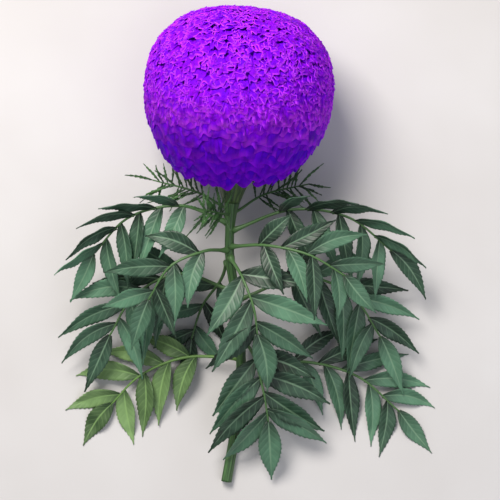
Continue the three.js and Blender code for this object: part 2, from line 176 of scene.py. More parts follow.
floor_shape = bmesh.new()
bmesh.ops.create_grid(floor_shape, x_segments=1, y_segments=1, size=FLOOR_HALF_SIDE)
floor_mesh = bpy.data.meshes.new("floor")
floor_shape.to_mesh(floor_mesh)
floor_shape.free()
floor_mesh.materials.append(card)
floor = bpy.data.objects.new("floor", floor_mesh)
bpy.context.collection.objects.link(floor)
print("floor, m:", tuple(round(side, 1) for side in floor.dimensions))

# %% [markdown]
# ## Light
# The light in the photograph is soft daylight that comes from above the flower, which is the top of the
# picture here. It could be one bright sky, but then the head would look flat. So a large lamp on the
# bloom's side gives the daylight and its soft shadows, a weaker one opposite opens them, and a pale sky
# fills the rest.
# %% Light
SKY_STRENGTH = 0.47


def add_lamp(name, spot, size, watts, tone):
    """A square lamp at a spot in millimetres, turned towards the middle of the flower."""
    data = bpy.data.lights.new(name, "AREA")
    data.size = size * MM
    data.energy = watts
    data.color = colour(tone)[:3]
    lamp = bpy.data.objects.new(name, data)
    lamp.location = Vector(spot) * MM
    lamp.rotation_euler = (-lamp.location).to_track_quat("-Z", "Y").to_euler()
    bpy.context.collection.objects.link(lamp)


add_lamp("day_lamp", (-300, 520, 860), 440, 15, "fffaf2")
add_lamp("fill_lamp", (420, -420, 950), 900, 3, "f2f6ff")
sky = bpy.data.worlds.new("sky")
sky.use_nodes = True
sky.node_tree.nodes["Background"].inputs["Color"].default_value = colour("e8ebf0")
sky.node_tree.nodes["Background"].inputs["Strength"].default_value = SKY_STRENGTH
bpy.context.scene.world = sky
bpy.context.scene.view_settings.view_transform = "Standard"
print("lamps:", len(bpy.data.lights))

# %% [markdown]
# ## Shaping helpers
# Petals and leaflets are thin blades that bend every way, and stems and midribs are tubes that follow a
# curve. Both start as a flat grid made by Blender, whose points are then carried to their places. Each
# point also keeps four numbers, its marks, such as how far along the blade it is. The finishes read them
# later, so that veins and streaks follow each blade wherever it bends.
# %% Shaping helpers
MARKS = "marks"
LEAST_HEIGHT = 0.35


def new_shape():
    """An empty shape whose points can keep marks."""
    shape = bmesh.new()
    shape.verts.layers.float_color.new(MARKS)
    return shape


def between(low, high, share):
    """The value at this share of the way from low to high."""
    return low + (high - low) * share


def add_sheet(shape, columns, rows, place_at):
    """A grid whose points are carried by place_at(across, along), which gives a place and marks.
    Across runs from -1 to 1, and along from 0 to 1."""
    layer = shape.verts.layers.float_color[MARKS]
    made = bmesh.ops.create_grid(shape, x_segments=columns, y_segments=rows, size=1)["verts"]
    for point in made:
        point.co, point[layer] = place_at(point.co.x, (point.co.y + 1) / 2)
    return made


print("nothing lies lower over the surface than, mm:", LEAST_HEIGHT)

# %% [markdown]
# ## Finished pieces
# Each shape is made in millimetres under the head's middle. It could be placed by moving its object, but
# the object has to stay at the origin, so the shape itself is scaled to metres and moved. Blades are
# single films of faces, and a modifier gives them their real thickness on both sides. Every piece then
# rides on the flower, and the solid of the imported model that it stands for is hidden.
# %% Finished pieces
def as_piece(name, shape, finish, slot, stands_for, thickness=None):
    """Turns a shape in millimetres into a finished piece in metres that rides on the flower."""
    bmesh.ops.recalc_face_normals(shape, faces=shape.faces)
    bmesh.ops.scale(shape, vec=(MM, MM, MM), verts=shape.verts)
    bmesh.ops.translate(shape, vec=(REST_SPOT.x, REST_SPOT.y, 0), verts=shape.verts)
    mesh = bpy.data.meshes.new(name)
    shape.to_mesh(mesh)
    shape.free()
    mesh.shade_smooth()
    mesh.materials.append(finish)
    piece = bpy.data.objects.new(name, mesh)
    bpy.context.collection.objects.link(piece)
    if thickness:
        wall = piece.modifiers.new("thickness", "SOLIDIFY")
        wall.thickness = thickness * MM
        wall.offset = 0
    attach(piece, "root")
    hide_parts(stands_for)
    print(name, "faces:", len(mesh.polygons), "mm:", [round(1000 * side) for side in piece.dimensions])


print("pieces are moved by, mm:", tuple(round(1000 * part, 1) for part in REST_SPOT.to_2d()))

# %% [markdown]
# ## Marks in a finish
# The four marks are stored as one colour on each point. A finish reads them back as four shares.
# %% Marks in a finish
def read_marks(tree):
    """The four marks of a point, as outputs that other nodes can take."""
    marks = add_node(tree, "ShaderNodeAttribute", attribute_name=MARKS)
    parts = add_node(tree, "ShaderNodeSeparateColor", {"Color": marks.outputs["Color"]})
    return *(parts.outputs[name] for name in ("Red", "Green", "Blue")), marks.outputs["Alpha"]


print("marks are kept in the attribute:", MARKS)

# %% [markdown]
# ## Petal tissue
# A petal is a thin film of cells filled with violet sap. It is matte and velvety, because its cells stand
# up as tiny cones, and fine veins run along it. Stretches of the ruffled edge are pale, partly by a paler
# tint and partly by painted highlight. Some florets are a little bluer than others, and those on the
# underside are darkened with painted shade. The roots are given the brightest violet as painted light,
# which keeps the gaps between petals from going black in their shade. Marks on a petal: share along it,
# share across it, its own number, and how low it grows.
# %% Colours of the petal tissue
petal_tissue, tree = new_finish("violet_petal_tissue")
along, across, own, low = read_marks(tree)
# Painted light: the stop at the root is the brightest violet, so that shaded gaps stay light. The lighter
# stop at the tip is partly painted highlight.
rosy = add_node(tree, "ShaderNodeValToRGB", {"Fac": along})
set_stops(rosy.color_ramp, [(0.0, "a01cf4"), (0.35, "8408dc"), (0.85, "8408dc"), (1.0, "940cea")])
bluish = add_node(tree, "ShaderNodeValToRGB", {"Fac": along})
set_stops(bluish.color_ramp, [(0.0, "9018f4"), (0.35, "6c04dc"), (0.85, "6a04da"), (1.0, "7c08e8")])
violet = add_node(tree, "ShaderNodeMix", {0: own, 6: rosy, 7: bluish}, data_type="RGBA")
print("colours of a petal from root to tip:", len(rosy.color_ramp.elements))

# %% [markdown]
# ## Veins and pale edges of a petal
# The veins are a noise stretched along the petal: 22 waves over a width of 6 to 17 mm make one about every
# half millimetre, as on a real floret. Each petal's own number moves it to another part of the noise. The
# pale stretches of the edge, partly a paler tint and partly painted highlight, are a noise of 220 waves per
# metre, which is 4.5 mm each.
# %% Veins and pale edges of a petal
VEINS_ACROSS = 22.0
WAVES_ALONG = 2.0
APART = 90.0
PALE_AND_HIGHLIT_STRETCHES = 220.0
VEIN_SHARE = 0.3
VEIN_DEPTH = 0.15

vein_place = add_node(tree, "ShaderNodeCombineXYZ", {
    "X": add_node(tree, "ShaderNodeMath", {0: across, 1: VEINS_ACROSS}, operation="MULTIPLY"),
    "Y": add_node(tree, "ShaderNodeMath", {0: along, 1: WAVES_ALONG}, operation="MULTIPLY"),
    "Z": add_node(tree, "ShaderNodeMath", {0: own, 1: APART}, operation="MULTIPLY"),
})
veins = add_node(tree, "ShaderNodeTexNoise", {"Vector": vein_place, "Scale": 1.0, "Detail": 2.0})
in_vein = add_node(tree, "ShaderNodeMapRange", {"Value": veins, "From Min": 0.62, "From Max": 0.38},
                   interpolation_type="SMOOTHSTEP")
veined = add_node(tree, "ShaderNodeMix", {0: in_vein, 6: violet, 7: colour("5206b0")}, data_type="RGBA")
veined = add_node(tree, "ShaderNodeMix", {0: VEIN_SHARE, 6: violet, 7: veined}, data_type="RGBA")

place = add_node(tree, "ShaderNodeTexCoord").outputs["Object"]
stretches = add_node(tree, "ShaderNodeTexNoise", {"Vector": place, "Scale": PALE_AND_HIGHLIT_STRETCHES, "Detail": 2.0})
pale_and_highlit_stretch = add_node(tree, "ShaderNodeMapRange", {"Value": stretches, "From Min": 0.3, "From Max": 0.6},
                        interpolation_type="SMOOTHSTEP")
# Near the tip, stretches are mixed towards pale violet: partly the edge's paler tint, partly painted
# highlight.
near_edge = add_node(tree, "ShaderNodeMapRange", {"Value": along, "From Min": 0.84, "From Max": 0.99},
                     interpolation_type="SMOOTHSTEP")
pale_and_highlit_edge = add_node(tree, "ShaderNodeMath", {0: pale_and_highlit_stretch, 1: near_edge}, operation="MULTIPLY")
edged = add_node(tree, "ShaderNodeMix", {0: pale_and_highlit_edge, 6: veined, 7: colour("b834ff")}, data_type="RGBA")
print("veins over a petal's width:", round(VEINS_ACROSS))

# %% [markdown]
# ## Surface of a petal
# The colour is darkened on the underside with painted shade, and goes into one rough shader with hardly any
# gloss. Almost half of the light enters the film and comes out again within 2 mm, red and blue more than
# green.
# %% Surface of a petal
# Painted shade: florets low on the underside are multiplied by a darker violet.
painted_underside_shade = add_node(tree, "ShaderNodeMapRange", {"Value": low, "From Min": 0.62, "From Max": 0.88},
                        interpolation_type="SMOOTHSTEP")
shaded = add_node(tree, "ShaderNodeMix", {0: painted_underside_shade, 6: edged, 7: colour("bc60f2")},
                  data_type="RGBA", blend_type="MULTIPLY")
relief = add_node(tree, "ShaderNodeBump", {"Height": veins, "Distance": VEIN_DEPTH * MM, "Strength": 1.0})
set_surface(tree, {
    "Base Color": shaded,
    "Roughness": 0.6,
    "Specular IOR Level": 0.03,
    "Subsurface Weight": 0.45,
    "Subsurface Radius": (1.0, 0.1, 1.0),
    "Subsurface Scale": 0.002,
    "Sheen Weight": 0.02,
    "Sheen Roughness": 0.4,
    "Sheen Tint": colour("a030ff"),
    "Normal": relief,
})
print("petal tissue nodes:", len(tree.nodes))

# %% [markdown]
# ## Form of the head
# A double marigold is a ball packed with ray florets. The outer ball is where their tips end, and the
# inner one, the core, is where the eye meets their packed roots. Both could be measured off a mesh, but a
# formula gives any place on them at once, so each floret can be carried between the two.
# %% Form of the head
def on_ball(polar, turn, radius, height):
    """A place on a flattened ball, in the head's own frame: polar is the angle from the crown, and turn
    the way round the axis. The crown's side is fuller than a ball."""
    aside, ahead = math.sin(polar), math.cos(polar)
    power = CROWN_FULLNESS if ahead > 0 else PLAIN_BALL
    reach = (abs(aside) ** power + abs(ahead) ** power) ** (-1 / power)
    out = radius * reach * aside
    return Vector((out * math.cos(turn), out * math.sin(turn), height * reach * ahead))


def on_core(polar, turn):
    """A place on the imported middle."""
    return on_ball(polar, turn, CORE_RADIUS, CORE_HEIGHT if math.cos(polar) > 0 else CORE_DEPTH)


def on_head(polar, turn):
    """Where the florets end. On the underside they hang lower on one side."""
    lobe = 1 + LOBE_SHARE * math.cos(turn - LOBE_TURN)
    return on_ball(polar, turn, HEAD_RADIUS, CROWN_HEIGHT if math.cos(polar) > 0 else UNDERSIDE_DEPTH * lobe)


print("the head is, mm high along its axis:", CROWN_HEIGHT + UNDERSIDE_DEPTH)

# %% [markdown]
# ## Habit of a floret
# Each ray floret is a petal that is narrow at its root, broad at its tip and ruffled like a frill. On the
# crown's side the florets stand up, small and crowded, are turned every way, and roll their lips over, so
# that little can be seen between them. The older ones below are broader, and they hang and show their
# faces. Each takes its own random numbers from ranges that shade from one habit to the other.
# %% Habit of a floret
HANGING_FROM = math.radians(104)
HANGING_LEAD = 0.35
HANGING_SPAN = 0.5
chance = random.Random(21)


def petal_habit(polar):
    """How a floret at this angle from the crown grows. From the widest part down they hang more and more."""
    hanging = min(1, max(0, (polar - HANGING_FROM + HANGING_LEAD) / HANGING_SPAN))
    return {
        "lean": math.radians(between(3, 25, hanging) + chance.uniform(-3, 3)),
        "width": between(chance.uniform(6, 9), chance.uniform(11, 17), hanging),
        "reach": chance.uniform(0.86, 1),
        "ruffle": between(chance.uniform(0.8, 1.5), chance.uniform(0.8, 1.5), hanging),
        "waves": between(chance.uniform(1.3, 2.3), chance.uniform(0.7, 1.4), hanging),
        "phase": chance.uniform(0, 2 * math.pi),
        "skew": math.radians(chance.uniform(-85, 85) * between(1, 0.25, hanging)),
        "curl": chance.uniform(-1.5, 1.5),
        "lip": between(chance.uniform(1.6, 4.2), chance.uniform(-1.5, 0.5), hanging),
        "roundness": between(0.14, 0.24, hanging),
    }


print("florets hang from, degrees off the crown:", round(math.degrees(HANGING_FROM)))

# %% [markdown]
# ## One floret
# The florets could be instanced copies of one petal, but then the ruffles would repeat, so each is bent
# by its own habit. A grid is carried from the core, at its root, to the head's outside, at its tip. It
# leans towards the crown at its root, turns by its skew, is notched and rounded at its tip, and its
# ruffle and lip grow towards the edge. A power of along says how early a change comes: below 1 it comes
# near the root, and above 1 near the tip. Florets under the head are squashed flat on the surface.
# %% One floret
LAST_RING = math.radians(149)
PETAL_COLUMNS = 14
PETAL_ROWS = 3
NOTCH_DEPTH = 0.05


def add_petal(shape, polar, turn):
    """One ray floret whose tip is at this angle from the crown and this turn round the axis."""
    own = chance.random()
    habit = petal_habit(polar)
    skew, phase = habit["skew"], habit["phase"]
    round_head = Vector((-math.sin(turn), math.cos(turn), 0))

    def place_at(across, along):
        wave = math.pi * habit["waves"] * across + phase
        notch = habit["roundness"] * across**2 + NOTCH_DEPTH * (1 + math.cos(1.6 * wave))
        grown_polar = polar - habit["lean"] * (1 - along**1.4)
        out_share = habit["reach"] * (1 - (1 - along) ** 1.3) - notch * along**3
        middle = on_core(grown_polar, turn).lerp(on_head(grown_polar, turn), out_share)
        down = round_head.cross(middle.normalized())
        side = round_head * math.cos(skew * along) + down * math.sin(skew * along)
        away = down * math.cos(skew * along) - round_head * math.sin(skew * along)
        frill = math.sin(wave) * along**1.5 + 0.25 * math.sin(1.7 * wave + phase) * along**2
        half_width = habit["width"] / 2 * (0.35 + 0.65 * along**0.8)
        bend = habit["curl"] * across**2 * along + habit["lip"] * along**2.5
        point = in_place(middle + side * half_width * across + away * (habit["ruffle"] * frill + bend))
        point.z = max(point.z, LEAST_HEIGHT + own)
        return point, (along, 0.5 + 0.5 * across, own, polar / LAST_RING)

    add_sheet(shape, PETAL_COLUMNS, PETAL_ROWS, place_at)


print("faces of one floret:", PETAL_COLUMNS * PETAL_ROWS)

# %% [markdown]
# ## Rings of florets
# The florets grow in rings round the head's axis, so rings are used and not a spiral. Each ring gets as
# many florets as its girth has room for. They are kept as four pieces, so that none grows too heavy.
# %% Rings of florets
CROWN_RINGS = 34
FIRST_RING = math.radians(4)
FIRST_UPPER_RING = 17
FIRST_SIDE_RING = 26
HANGING_RINGS = 9
CROWN_SPACING = 5.1
HANGING_SPACING = 9
PETAL_FILM = 0.35


def add_florets(name, ring_polars, spacing):
    """Rings of florets at these angles from the crown, as one piece."""
    shape = new_shape()
    for ring_polar in ring_polars:
        girth = 2 * math.pi * on_head(ring_polar, LOBE_TURN).to_2d().length
        count = max(3, round(girth / spacing))
        start = chance.random()
        for number in range(count):
            turn = 2 * math.pi * (number + start + chance.uniform(-0.2, 0.2)) / count
            add_petal(shape, ring_polar + math.radians(chance.uniform(-2, 2)), turn)
    as_piece(name, shape, petal_tissue, "petals", "bloom", PETAL_FILM)


crown_polars = [between(FIRST_RING, HANGING_FROM, ring / CROWN_RINGS) for ring in range(CROWN_RINGS)]
hanging_shares = [ring / (HANGING_RINGS - 1) for ring in range(HANGING_RINGS)]
hanging_polars = [between(HANGING_FROM, LAST_RING, share) for share in hanging_shares]
add_florets("bloom_crown_florets", crown_polars[:FIRST_UPPER_RING], CROWN_SPACING)
add_florets("bloom_upper_florets", crown_polars[FIRST_UPPER_RING:FIRST_SIDE_RING], CROWN_SPACING)
add_florets("bloom_side_florets", crown_polars[FIRST_SIDE_RING:], CROWN_SPACING)
add_florets("bloom_hanging_florets", hanging_polars, HANGING_SPACING)

# %% [markdown]
# ## Heart of the bloom
# Between the florets the eye meets the imported middle of the head, where petal roots press together. A
# violet core stands for it, with the marks of a petal's root, so it takes the root's brightest violet as
# painted light in the shade between the florets. Its outline is spun round the head's axis, with the short
# neck that goes down into the green cup.
# %% Heart of the bloom
HEART_STEPS = 20
HEART_SIDES = 48
NECK_OUTLINE = [(9, -30.5), (8, -33), (7.5, -38), (0, -38)]
# These marks give the heart the petal root's brightest violet, which is painted light.
ROOT_MARKS = (0, 0.5, 0.5, 0.5)


def spun(outline, steps):
    """A shape spun from (radius, height) points round the head's axis, still in the head's own frame."""
    shape = new_shape()
    points = [shape.verts.new((radius, 0, height)) for radius, height in outline]
    edges = [shape.edges.new(pair) for pair in zip(points, points[1:])]
    bmesh.ops.spin(shape, geom=points + edges, axis=UP, cent=(0, 0, 0), dvec=(0, 0, 0),
                   angle=2 * math.pi, steps=steps, use_merge=True)
    bmesh.ops.remove_doubles(shape, verts=shape.verts, dist=1e-4)
    return shape


heart_outline = []
for step in range(HEART_STEPS + 1):
    spot = on_core(LAST_RING * step / HEART_STEPS, 0)
    heart_outline.append((spot.x, spot.z))
heart = spun(heart_outline + NECK_OUTLINE, HEART_SIDES)
heart_layer = heart.verts.layers.float_color[MARKS]
for point in heart.verts:
    point[heart_layer] = ROOT_MARKS
    point.co = in_place(point.co)
as_piece("bloom_heart", heart, petal_tissue, "petals", "bloom")

# %% [markdown]
# ## Roots of the florets
# From the stem's side, the florets' narrow roots can be seen to come out of the green cup like the ribs of
# a fan. They sag a little and run outwards under the hanging florets. A ribbed dish could stand for them,
# but the gaps between real roots are deep, so two layers of narrow arched blades are used, each with a
# random width, length and sway. They have the marks of a petal's lower half, so they take its brightest
# violet as painted light in the shaded recess, and they are kept out of the underside's painted shade.
# %% Roots of the florets
ROOT_LAYERS = [(34, 0), (24, 1.5)]
ROOT_START = 8.4
ROOT_END = 33
ROOT_WIDTH = 6.5
ROOT_LEVEL = -30.6
ROOT_SAG = 7
ROOT_ARCH = 1.1
ROOT_COLUMNS = 6
ROOT_ROWS = 8
# Low enough to keep the roots out of the underside's painted shade.
ROOT_LOWNESS = 0.6
SAG_SPAN = 0.9


def add_floret_root(shape, turn, proud):
    """One narrow root that leaves the cup at this turn round the axis."""
    own = chance.random()
    end = ROOT_END * chance.uniform(0.85, 1.05)
    width = ROOT_WIDTH * chance.uniform(0.8, 1.2)
    sway = chance.uniform(-0.12, 0.12)

    def place_at(across, along):
        grown_turn = turn + sway * along
        away = Vector((math.cos(grown_turn), math.sin(grown_turn), 0))
        aside = Vector((-away.y, away.x, 0))
        arch = ROOT_ARCH * (1 - across**2) * along**0.5
        sag = (ROOT_SAG + proud) * math.sin(math.pi * (SAG_SPAN * along)) ** 1.6
        half_width = width / 2 * between(0.3, 1, along)
        out = between(ROOT_START, end, along)
        point = away * out + aside * half_width * across + UP * (ROOT_LEVEL - sag - arch)
        # Marks of a petal's lower half: its painted bright root violet.
        return in_place(point), (0.5 * along, 0.5 + 0.5 * across, own, ROOT_LOWNESS)

    add_sheet(shape, ROOT_COLUMNS, ROOT_ROWS, place_at)


roots = new_shape()
for count, proud in ROOT_LAYERS:
    for number in range(count):
        add_floret_root(roots, 2 * math.pi * (number + chance.uniform(-0.25, 0.25)) / count, proud)
as_piece("bloom_floret_roots", roots, petal_tissue, "petals", "bloom", PETAL_FILM)

# %% [markdown]
# ## Green tissue
# Stem and cup have the same waxy green skin. It is smooth with a satin gloss, and streaked along its
# length. The streaks are a noise with 14 waves over the tube's width, which is one every 0.4 mm on the
# stem and every 1.4 mm on the cup, and only a few along it. Marks: two numbers for the way round, so that
# no seam shows, share along, and how pale it is.
# %% Green tissue
STREAKS_ROUND = 14.0
STREAK_DEPTH = 0.12


def green_skin(name, deep, light, cut, streaks):
    """A streaked satin skin. Where the fourth mark is 1, as on a cut end, the pale pith shows."""
    material, tree = new_finish(name)
    first, second, along, pale = read_marks(tree)
    place = add_node(tree, "ShaderNodeCombineXYZ", {
        "X": add_node(tree, "ShaderNodeMath", {0: first, 1: STREAKS_ROUND}, operation="MULTIPLY"),
        "Y": add_node(tree, "ShaderNodeMath", {0: second, 1: STREAKS_ROUND}, operation="MULTIPLY"),
        "Z": add_node(tree, "ShaderNodeMath", {0: along, 1: streaks}, operation="MULTIPLY"),
    })
    grain = add_node(tree, "ShaderNodeTexNoise", {"Vector": place, "Scale": 1.0, "Detail": 3.0})
    in_streak = add_node(tree, "ShaderNodeMapRange", {"Value": grain, "From Min": 0.35, "From Max": 0.65},
                         interpolation_type="SMOOTHSTEP")
    skin = add_node(tree, "ShaderNodeMix", {0: in_streak, 6: colour(deep), 7: colour(light)},
                    data_type="RGBA")
    on_cut = add_node(tree, "ShaderNodeMapRange", {"Value": pale, "From Min": 0.7, "From Max": 0.9},
                      interpolation_type="SMOOTHSTEP")
    skin = add_node(tree, "ShaderNodeMix", {0: on_cut, 6: skin, 7: colour(cut)}, data_type="RGBA")
    relief = add_node(tree, "ShaderNodeBump",
                      {"Height": grain, "Distance": STREAK_DEPTH * MM, "Strength": 1.0})
    set_surface(tree, {"Base Color": skin, "Roughness": 0.42, "Normal": relief})
    return material


stem_skin = green_skin("waxy_stem_skin", "1f3a1c", "446838", "b4c08a", 9.0)
cup_skin = green_skin("waxy_cup_skin", "20361a", "48602f", "b4c08a", 3.0)
print("green skins:", stem_skin.name, cup_skin.name)

# %% [markdown]
# ## Green cup
# Under a marigold's head is a cup of leafy bracts that have grown together, with their tips left free as
# a ring of teeth round the florets. The cup's outline is spun in many steps. Its rim is then raised into
# teeth and its wall pressed into a rib for each bract.
# %% Green cup
CUP_OUTLINE = [
    (0, -57), (4.6, -57), (5.5, -54.4), (6.7, -51), (7.9, -47.6), (8.8, -44.5), (9.4, -41.4),
    (9.7, -38.3), (9.75, -36.2), (9.7, -34.2), (8.9, -34.2), (8.5, -36.4), (8.3, -38.1), (0, -38.1)]
CUP_BOTTOM = -57
CUP_HEIGHT = 23
CUP_RIM = -34.3
BRACTS = 8
TOOTH_HEIGHT = 3.2
BRACT_SWELL = 0.03
BRACT_STEPS = 12
CUP_PALENESS = 0.3

cup = spun(CUP_OUTLINE, BRACT_STEPS * BRACTS)
cup_layer = cup.verts.layers.float_color[MARKS]
for point in cup.verts:
    turn = math.atan2(point.co.y, point.co.x)
    swell = 1 + BRACT_SWELL * math.cos(BRACTS * turn)
    from_bract = abs((BRACTS * turn / (2 * math.pi) + 0.5) % 1 - 0.5) * 2
    height_share = (point.co.z - CUP_BOTTOM) / CUP_HEIGHT
    point[cup_layer] = (0.5 + 0.5 * math.cos(turn), 0.5 + 0.5 * math.sin(turn), height_share, CUP_PALENESS)
    point.co.x *= swell
    point.co.y *= swell
    if point.co.z > CUP_RIM:
        point.co.z += TOOTH_HEIGHT * (1 - from_bract) ** 1.2
    point.co = in_place(point.co)
as_piece("calyx_cup_bracts", cup, cup_skin, "calyx", "calyx_cup")

# %% [markdown]
# ## Runs
# The stem and every midrib follow a smooth curve through a few points. A centripetal curve is used, as
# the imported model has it, because it passes through its points without loops. It is cut into short
# equal shares, so that a leaf can be placed by how far down the stem it grows.
# %% Runs
class Run:
    """A smooth curve through points, walked by the share of its length."""

    PER_SPAN = 60

    def __init__(self, points):
        ends = [2 * points[0] - points[1], *points, 2 * points[-1] - points[-2]]
        self.line = []
        for before, first, last, after in zip(ends, ends[1:], ends[2:], ends[3:]):
            gaps = [math.sqrt((b - a).length) for a, b in ((before, first), (first, last), (last, after))]
            leaving = (first - before) / gaps[0] - (last - before) / (gaps[0] + gaps[1])
            leaving = (leaving + (last - first) / gaps[1]) * gaps[1]
            coming = (last - first) / gaps[1] - (after - first) / (gaps[1] + gaps[2])
            coming = (coming + (after - last) / gaps[2]) * gaps[1]
            for step in range(self.PER_SPAN):
                t = step / self.PER_SPAN
                square = 3 * (last - first) - 2 * leaving - coming
                cube = 2 * (first - last) + leaving + coming
                self.line.append(first + leaving * t + square * t**2 + cube * t**3)
        self.line.append(points[-1])
        self.lengths = [0]
        for a, b in zip(self.line, self.line[1:]):
            self.lengths.append(self.lengths[-1] + (b - a).length)

    def at(self, share):
        """The place at this share of the length, and the way on from it. A share may be below 0."""
        goal = share * self.lengths[-1]
        low, high = 0, len(self.line) - 2
        while low < high:
            middle = (low + high + 1) // 2
            low, high = (middle, high) if self.lengths[middle] <= goal else (low, middle - 1)
        way = (self.line[low + 1] - self.line[low]).normalized()
        return self.line[low] + way * (goal - self.lengths[low]), way


print("steps between two points of a run:", Run.PER_SPAN)

# %% [markdown]
# ## Tubes
# Stem and midribs are solid tubes whose thickness changes along them. A curve with a bevel could give
# them, but its section would be round, and the stem is ribbed. So a grid is rolled up round the run.
# %% Tubes
def add_tube(shape, run, radius_at, sides, steps, start=0.0, pale=0.0):
    """A closed tube along a run: a grid is rolled up, its seam is merged and its ends are filled."""
    def place_at(across, along):
        turn = math.pi * across
        share = between(start, 1, along)
        middle, way = run.at(share)
        side = UP.cross(way).normalized()
        reach = side * math.cos(turn) + way.cross(side) * math.sin(turn)
        marks = (0.5 + 0.5 * math.cos(turn), 0.5 + 0.5 * math.sin(turn), along, pale)
        return middle + reach * radius_at(share, turn), marks

    made = add_sheet(shape, sides, steps, place_at)
    bmesh.ops.remove_doubles(shape, verts=made, dist=1e-5)
    ends = [edge for edge in shape.edges if edge.is_boundary]
    return bmesh.ops.holes_fill(shape, edges=ends, sides=sides)["faces"]


print("helper for stem and midribs:", add_tube.__name__)

# %% [markdown]
# ## Stem
# The stem swells into a hollow neck under the cup, narrows quickly, and thickens again slowly towards the
# cut. It is angular, with five low ribs. The cut end shows pale pith inside a green ring, made by an
# inset of the end face.
# %% Stem
FIT_GAP = 0.3
STEM_TOP = in_place(Vector((0, 0, CUP_BOTTOM - FIT_GAP)))
STRAIGHT_NECK = 10
STEM_WAY = [(-5, -84, 28.6), (-1, -112, 20), (1, -145, 10.5), (-2, -178, 4.8), (-7, -208, 3.2)]
STEM_RUN = Run([STEM_TOP, STEM_TOP - STRAIGHT_NECK * CROWN_WAY, *map(Vector, STEM_WAY)])
STEM_RADIUS = 2.5
NECK_SWELL = 2
NECK_SHARE = 0.12
FOOT_SWELL = 0.5
STEM_RIBS = 5
STEM_RIB_DEPTH = 0.05
FINE_RIB_DEPTH = 0.012
GREEN_RING = 0.55
PITH_SINK = 0.25
PITH_MARKS = (0.5, 0.5, 1, 1)


def stem_radius(share):
    """The stem's radius at this share of its length, over its ribs."""
    neck = NECK_SWELL * max(0, 1 - share / NECK_SHARE) ** 2
    return STEM_RADIUS + neck + FOOT_SWELL * share


def ribbed(share, turn):
    """The stem's radius with its low ribs, and three fine ones to each."""
    rib = STEM_RIB_DEPTH * (math.cos(STEM_RIBS * turn) - 1) + FINE_RIB_DEPTH * math.cos(3 * STEM_RIBS * turn)
    return stem_radius(share) * (1 + rib)


stem = new_shape()
stem_ends = add_tube(stem, STEM_RUN, ribbed, sides=60, steps=140)
cut_face = min(stem_ends, key=lambda face: face.calc_center_median().y)
bmesh.ops.inset_region(stem, faces=[cut_face], thickness=GREEN_RING, depth=-PITH_SINK)
stem_layer = stem.verts.layers.float_color[MARKS]
for point in cut_face.verts:
    point[stem_layer] = PITH_MARKS
as_piece("stem_ribbed", stem, stem_skin, "stem", "stem")

# %% [markdown]
# ## Veins of a leaflet
# A marigold leaflet has a sunken midrib, and side veins that slant forward to its teeth. Its blade swells
# between them. They could be painted, but then they wouldn't follow each bent blade, so they are worked
# out from its marks: share along it, how far it is from the midrib, its own number, and 0. Nine veins on
# a leaflet of 30 to 44 mm are 3 to 5 mm apart, as on the real one.
# %% Veins of a leaflet
SIDE_VEINS = 9.0
VEIN_SLANT = 1.5


def leaflet_veins(tree, along, off_midrib):
    """Where the side veins and the midrib are, and how much the blade swells between them."""
    count = add_node(tree, "ShaderNodeMath", {0: along, 1: SIDE_VEINS}, operation="MULTIPLY")
    rise = add_node(tree, "ShaderNodeMath", {0: off_midrib, 1: -VEIN_SLANT}, operation="MULTIPLY")
    count = add_node(tree, "ShaderNodeMath", {0: count, 1: rise}, operation="ADD")
    from_vein = add_node(tree, "ShaderNodeMath", {0: count, 1: 0.5}, operation="PINGPONG")
    side_vein = add_node(tree, "ShaderNodeMapRange", {"Value": from_vein, "From Min": 0.12, "From Max": 0.02},
                         interpolation_type="SMOOTHSTEP")
    midrib = add_node(tree, "ShaderNodeMapRange", {"Value": off_midrib, "From Min": 0.12, "From Max": 0.04},
                      interpolation_type="SMOOTHSTEP")
    off_vein = add_node(tree, "ShaderNodeMapRange", {"Value": from_vein, "From Min": 0.0, "From Max": 0.3},
                        interpolation_type="SMOOTHSTEP")
    beside = add_node(tree, "ShaderNodeMapRange", {"Value": off_midrib, "From Min": 0.0, "From Max": 0.25},
                      interpolation_type="SMOOTHSTEP")
    swell = add_node(tree, "ShaderNodeMath", {0: off_vein, 1: beside}, operation="MULTIPLY")
    return side_vein, midrib, swell


print("side veins on each half of a leaflet:", round(SIDE_VEINS))

# %% [markdown]
# ## Leaf tissue
# The upper side of a leaf is dark blue-green with a satin gloss. Each leaflet's own number sets its tone:
# part of it is luck, and part is painted light that makes leaflets high up and far out paler. All are
# darkest near their roots, as painted shade where they shade each other. A weak mottle of 120 waves per
# metre, 8 mm each, varies the green within a blade. The leaf's midrib, a tube, has 1 as its fourth mark and
# takes its own yellower green.
# %% Leaf tissue
MOTTLES = 120.0
MOTTLE_SHARE = 0.2
SIDE_VEIN_SHARE = 0.16
MIDRIB_SHARE = 0.5
SWELL_DEPTH = 0.11


